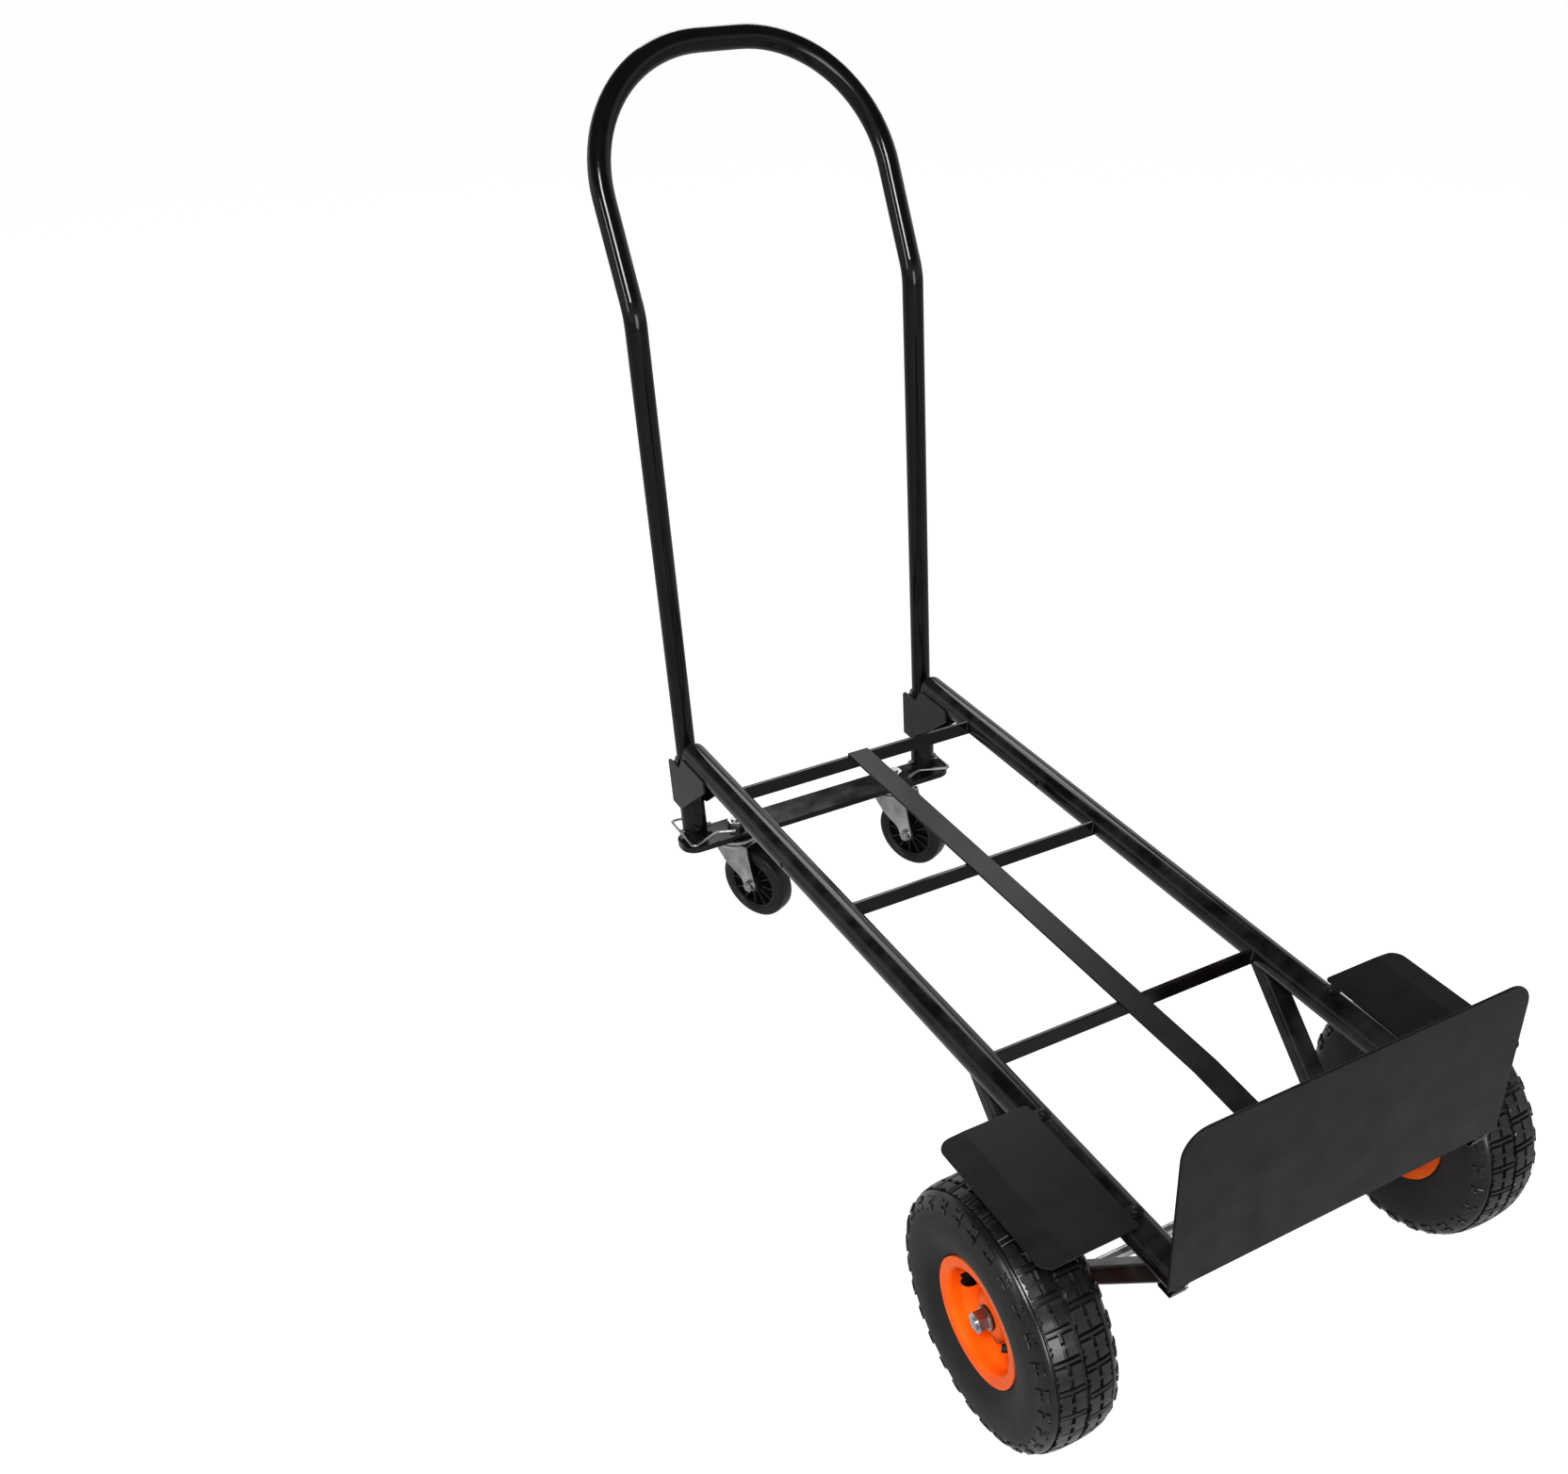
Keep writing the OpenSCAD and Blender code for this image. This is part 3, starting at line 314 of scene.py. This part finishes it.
def block_pair(length=.0214, width=.0260, gap=.0034, notch=.0022, height=tread, soft=.0006):
    bm = bmesh.new()
    bmesh.ops.create_grid(bm, x_segments=6, y_segments=3, size=0.5)
    across = dict(zip(sorted({round(v.co.y, 3) for v in bm.verts}), (-width / 2, -gap / 2, gap / 2, width / 2)))
    shares = (-.5, -.29, -.11, 0, .11, .29, .5)
    along = dict(zip(sorted({round(v.co.x, 3) for v in bm.verts}), [length * s for s in shares]))
    slot = [f for f in bm.faces if abs(f.calc_center_median().y) < .1 and abs(f.calc_center_median().x) > .17]
    bmesh.ops.delete(bm, geom=slot, context="FACES")
    for v in bm.verts:
        bite = notch if abs(v.co.y) > .4 and .1 < abs(v.co.x) < .2 else 0
        v.co = Vector((along[round(v.co.x, 3)], across[round(v.co.y, 3)], 0))
        v.co.y -= math.copysign(bite, v.co.y)
    return raised(bm, height, soft)

def flat_block(length, width, height, soft):
    bm = bmesh.new()
    bmesh.ops.create_grid(bm, x_segments=2, y_segments=4, size=0.5)
    for v in bm.verts:
        v.co = Vector((v.co.x * length, v.co.y * width, 0))
    return raised(bm, height, soft)

def bend(bm, turn, across, side):
    copy = bm.copy()
    for v in copy.verts:
        y, r = skin(across + v.co.y, v.co.z if v.co.z > 0 else -.0006)
        v.co = Matrix.Rotation(turn + v.co.x / tyre_r, 3, "Y") @ Vector((0, y * side, r))
    if side < 0:
        bmesh.ops.reverse_faces(copy, faces=copy.faces)
    return copy

def join(bm, other):
    mesh = bpy.data.meshes.new("part")
    other.to_mesh(mesh)
    bm.from_mesh(mesh)
    other.free()
    bpy.data.meshes.remove(mesh)

# %% Lay the tread
blocks = 28
column, shoulder = .0145, .0420   # where the blocks and the lugs stand, across the tread
tyre = carcass()
bmesh.ops.recalc_face_normals(tyre, faces=tyre.faces)
pair, bar = block_pair(), flat_block(.0034, .0256, tread, .0005)
lug = block_pair(.0140, .0130, .0022, .0016, .0017, .0004)
for side in (1, -1):
    for k in range(blocks):
        turn = math.tau * (k + (0 if side > 0 else .5)) / blocks
        join(tyre, bend(pair, turn, column, side))
        join(tyre, bend(bar, turn + math.pi / blocks, column, side))
        join(tyre, bend(lug, turn + math.pi / blocks, shoulder, side))
for side, name in ((1, "left"), (-1, "right")):
    bm = tyre.copy()
    bmesh.ops.translate(bm, verts=bm.verts, vec=(axle.x, side * tyre_mid, axle.z))
    add_piece("tyre_tread_" + name, bm, "wheel_" + name, "tyre_rubber", "tyre_" + name, 40, False)
for bm in (tyre, pair, bar, lug):
    bm.free()

# %% [markdown]
# A caster's rubber tread is moulded on to its plastic core, and a raised ring on each face covers the
# joint. Its section is a closed outline, spun round the caster's own roll axis, which the frame gives.

# %% Caster tyres
joints = {joint["name"]: joint for joint in frame["joints"]}
caster_section = [(.0115, .0360), (.0122, .0366), (.0122, .0380), (.0113, .0386), (.0113, .0400), (.0119, .0408),
    (.0119, .0455), (.0112, .0478), (.0095, .0493), (.0060, .0499), (0, .0500)]
for side in ("right", "left"):
    roll = joints["caster_%s_roll" % side]
    centre, direction = Vector(roll["pos_m"]), Vector(roll["axis"])
    section = caster_section + [(-y, r) for y, r in reversed(caster_section[:-1])]
    bm = bmesh.new()
    verts = [bm.verts.new((0, y, r)) for y, r in section]
    edges = [bm.edges.new(pair) for pair in zip(verts, verts[1:] + verts[:1])]
    bmesh.ops.spin(bm, geom=verts + edges, cent=(0, 0, 0), axis=(0, 1, 0), angle=math.tau, steps=96, use_merge=True)
    turn = Vector((0, 1, 0)).rotation_difference(direction).to_matrix().to_4x4()
    bmesh.ops.transform(bm, matrix=Matrix.Translation(centre) @ turn, verts=bm.verts)
    add_piece("caster_tread_" + side, bm, "caster_wheel_" + side, "caster_rubber", "caster_tyre_" + side, 28)

# %% [markdown]
# The frame is arc welded. A weld is a row of overlapping ripples, each one a drop of metal that froze as
# the torch moved on, and paint runs over it. One ripple is a small icosphere squeezed flat along the
# run, and a run of them lies in the corner between each crossbar and its rail.

# %% Weld beads
def weld(name, start, end, size=.0021):
    start, end = Vector(start), Vector(end)
    length = (end - start).length
    count = max(3, round(length / (size * 0.85)))
    bm = bmesh.new()
    for k in range(count):
        place = start.lerp(end, (k + .5) / count)
        wobble = noise.noise(place * 900) * .12
        turn = Vector((0, 0, 1)).rotation_difference(end - start).to_matrix().to_4x4()
        shape = Matrix.Diagonal((size * (1 + wobble), size * (1 - wobble), size * .8, 1))
        bmesh.ops.create_icosphere(bm, subdivisions=2, radius=1, matrix=Matrix.Translation(place) @ turn @ shape)
    add_piece(name, bm, "frame", "gloss_black_paint", None, 60)

rail_low, rail_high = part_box("rail_right")
rail_y, rail_r = -(rail_low.y + rail_high.y) / 2, (rail_high.z - rail_low.z) / 2
rail_axis = (rail_low.z + rail_high.z) / 2
for crossbar in crossbars:
    low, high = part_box(crossbar)
    for side, name in ((1, "left"), (-1, "right")):
        # The bead follows the rail's round, from its widest point up to the crossbar's top
        top_y = rail_y - math.sqrt(rail_r ** 2 - (high.z - rail_axis) ** 2)
        weld("weld_%s_%s" % (crossbar, name), (high.x, side * (rail_y - rail_r - .0004), rail_axis - .006),
            (high.x, side * (top_y - .0004), high.z - .0005))

# %% [markdown]
# Two bolts hold the halves of each rim together. They go through the well, half a turn apart and clear
# of the valve's windows. A fastener is a washer and a six-sided head with softened corners, the bolt's
# head on the outer half and its nut on the inner half.

# %% Rim bolts
bolt_circle, bolt_turn, sheet = .0405, math.radians(264), .0022
washer_r, washer_t, head_r, head_t = .0082, .0024, .0066, .0048
bite = .0004  # how far a washer is sunk into the sheet
for name in ("left", "right"):
    low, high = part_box("tyre_" + name)
    bm = bmesh.new()
    for turn in (bolt_turn, bolt_turn + math.pi):
        place = (low + high) / 2 + Vector((math.cos(turn), 0, math.sin(turn))) * bolt_circle
        for way in (1, -1):
            aim = Vector((0, 0, 1)).rotation_difference(Vector((0, way, 0))).to_matrix().to_4x4()
            for sides, radius, start, tall in ((32, washer_r, sheet - bite, washer_t + bite),
                    (6, head_r, sheet + washer_t, head_t)):
                shape = Matrix.Translation(place) @ aim @ Matrix.Translation((0, 0, start + tall / 2))
                made = set(bmesh.ops.create_cone(bm, cap_ends=True, segments=sides, radius1=radius,
                    radius2=radius, depth=tall, matrix=shape)["verts"])
                rim = [e for e in bm.edges if e.verts[0] in made]
                bmesh.ops.bevel(bm, geom=rim, offset=.0003, segments=2, affect="EDGES", profile=0.5, material=-1)
    add_piece("rim_bolts_" + name, bm, "wheel_" + name, "zinc_plate", None, 40)

# %% [markdown]
# Under the toe end of each rail sits a small folded tab that ties the rail to the toe plate. It is a
# strip of sheet: a flat grid whose two ends are folded up, given a wall and softened along its edges.

# %% Tabs under the rail ends
for side, name in ((1, "left"), (-1, "right")):
    bm = bmesh.new()
    bmesh.ops.create_grid(bm, x_segments=3, y_segments=1, size=0.5)
    rows = sorted({round(v.co.x, 3) for v in bm.verts})
    fold = dict(zip(rows, [(-.0210, .0060), (-.0190, 0), (-.0030, 0), (-.0006, .0060)]))
    for v in bm.verts:
        along, up = fold[round(v.co.x, 3)]
        v.co = Vector((rail_high.x + along, side * rail_y + v.co.y * .018, rail_low.z - .0068 + up))
    bmesh.ops.solidify(bm, geom=bm.faces[:], thickness=.0022)
    corners = [e for e in bm.edges if e.calc_face_angle(0) > 1.2]
    bmesh.ops.bevel(bm, geom=corners, offset=.0005, segments=2, affect="EDGES", profile=0.5, material=-1)
    add_piece("rail_tab_" + name, bm, "frame", "gloss_black_paint", None, 40, even=True)

# %% [markdown]
# The set is a pale floor that is white to the camera and to mirror-like surfaces, so the truck's shadow
# stays on it but the paper never turns grey. Above it the sky is white low down and dims overhead, as
# in a studio with a dark ceiling, so that dark paint stays dark and the lamps draw clean streaks on it.

# %% Floor, world and lamps
def stage_piece(name, bm, material):
    mesh = bpy.data.meshes.new(name)
    bm.to_mesh(mesh)
    bm.free()
    mesh.materials.append(material)
    stage = bpy.data.objects.new(name, mesh)
    bpy.context.collection.objects.link(stage)

grid = bmesh.new()
bmesh.ops.create_grid(grid, x_segments=1, y_segments=1, size=14)
material, wire, shader = new_material("floor")
rays = [wire.make("LightPath", kind) for kind in ("Is Camera Ray", "Is Glossy Ray", "Is Transmission Ray")]
seen = rays[0] + rays[1] * 0.4 + rays[2]
wire.feed(shader, Base_Color=(.25, .25, .25, 1), Roughness=.9, Specular_IOR_Level=0.0, Emission_Color=(1, 1, 1, 1),
    Emission_Strength=seen.math("MINIMUM", seen, 1.0) * 0.93)
stage_piece("floor", grid, material)

world = bpy.data.worlds.new("studio")
bpy.context.scene.world = world
world.use_nodes = True
sky = world.node_tree.nodes["Background"]
wire = Wire(world.node_tree)
height = wire.make("SeparateXYZ", "Z", Vector=wire.make("TexCoord", "Generated"))
level = 1.0 - height.span(0.22, 0.46) * 0.88
world.node_tree.links.new(level.socket, sky.inputs["Strength"])
sky.inputs["Color"].default_value = (1, 1, 1, 1)

def lamp(name, place, target, size, power):
    data = bpy.data.lights.new(name, "AREA")
    data.shape, data.size, data.size_y, data.energy = "RECTANGLE", size[0], size[1], power
    light = bpy.data.objects.new(name, data)
    bpy.context.collection.objects.link(light)
    aim = Vector(target) - Vector(place)
    light.matrix_world = Matrix.Translation(place) @ aim.to_track_quat("-Z", "Y").to_matrix().to_4x4()
    print(name, "at", place, power, "W")

lamp("key", (1.7, -1.2, 2.6), (-0.3, 0, 0.5), (0.7, 0.8), 85)
lamp("back", (-2.3, 0.9, 2.1), (0, 0, 0.3), (1.6, 1.0), 26)
lamp("side", (0.5, -2.6, 1.6), (0.1, 0, 0.3), (0.3, 0.9), 16)
lamp("front", (3.0, -0.4, 0.9), (0.4, -0.1, 0.2), (1.2, 1.2), 48)
bpy.context.scene.view_settings.view_transform = "Standard"
